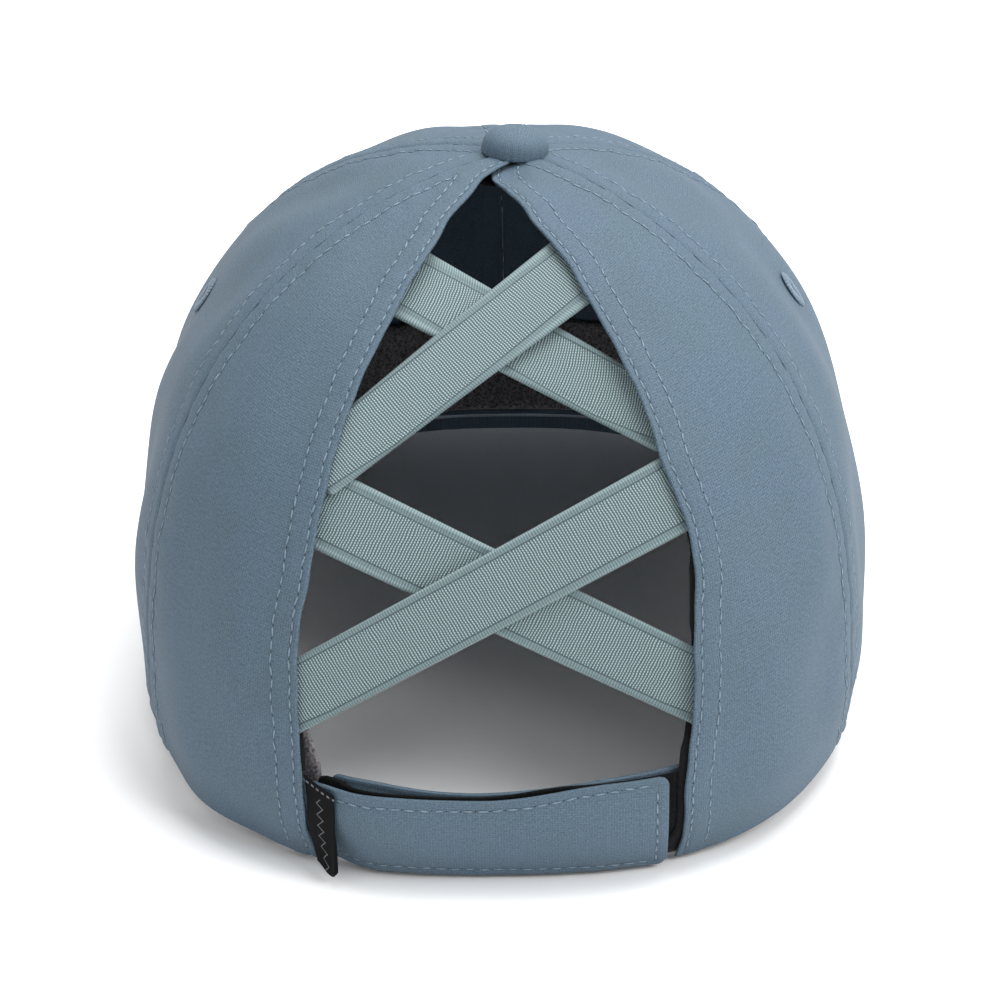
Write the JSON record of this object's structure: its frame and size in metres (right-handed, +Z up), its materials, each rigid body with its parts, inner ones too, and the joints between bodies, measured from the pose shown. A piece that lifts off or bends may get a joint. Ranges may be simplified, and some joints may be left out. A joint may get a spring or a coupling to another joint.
{
  "type": "ponytail baseball cap",
  "caption": "Light cloth baseball cap with a curved peak, an open back crossed by elastic bands for a ponytail, and a hook-and-loop closure strap.",
  "frame": {"origin": "middle of the cap's base, on the surface that it rests on", "axes": "+Z up, +Y towards the open back, -Y towards the peak, +X towards the wearer's left"},
  "size_m": [0.1694, 0.2644, 0.127],
  "materials": {
    "cloth": "light slate-blue ripstop, matt with a faint sheen",
    "peak_cloth": "the same ripstop over a stiff board, with rows of stitching",
    "elastic": "pale sage ribbed elastic",
    "black_tape": "black woven edge tape",
    "hook": "black hook tape",
    "loop": "black loop tape, brushed",
    "heather": "charcoal heather wicking knit",
    "label": "black woven label, bare"
  },
  "bodies": {
    "root": {"front_panel_left": "cloth", "front_panel_right": "cloth", "side_panel_left": "cloth", "side_panel_right": "cloth", "back_panel_left": "cloth", "back_panel_right": "cloth", "eyelet_left": "cloth", "eyelet_right": "cloth", "edge_tape_left": "black_tape", "edge_tape_right": "black_tape", "top_button": "cloth", "sweatband": "heather", "peak": "peak_cloth", "upper_band_over": "elastic", "upper_band_under": "elastic", "lower_band_over": "elastic", "lower_band_under": "elastic", "outer_strap": "cloth", "inner_strap": "cloth", "hook_tape": "hook", "loop_tape": "loop", "side_label": "label"}
  },
  "joints": []
}
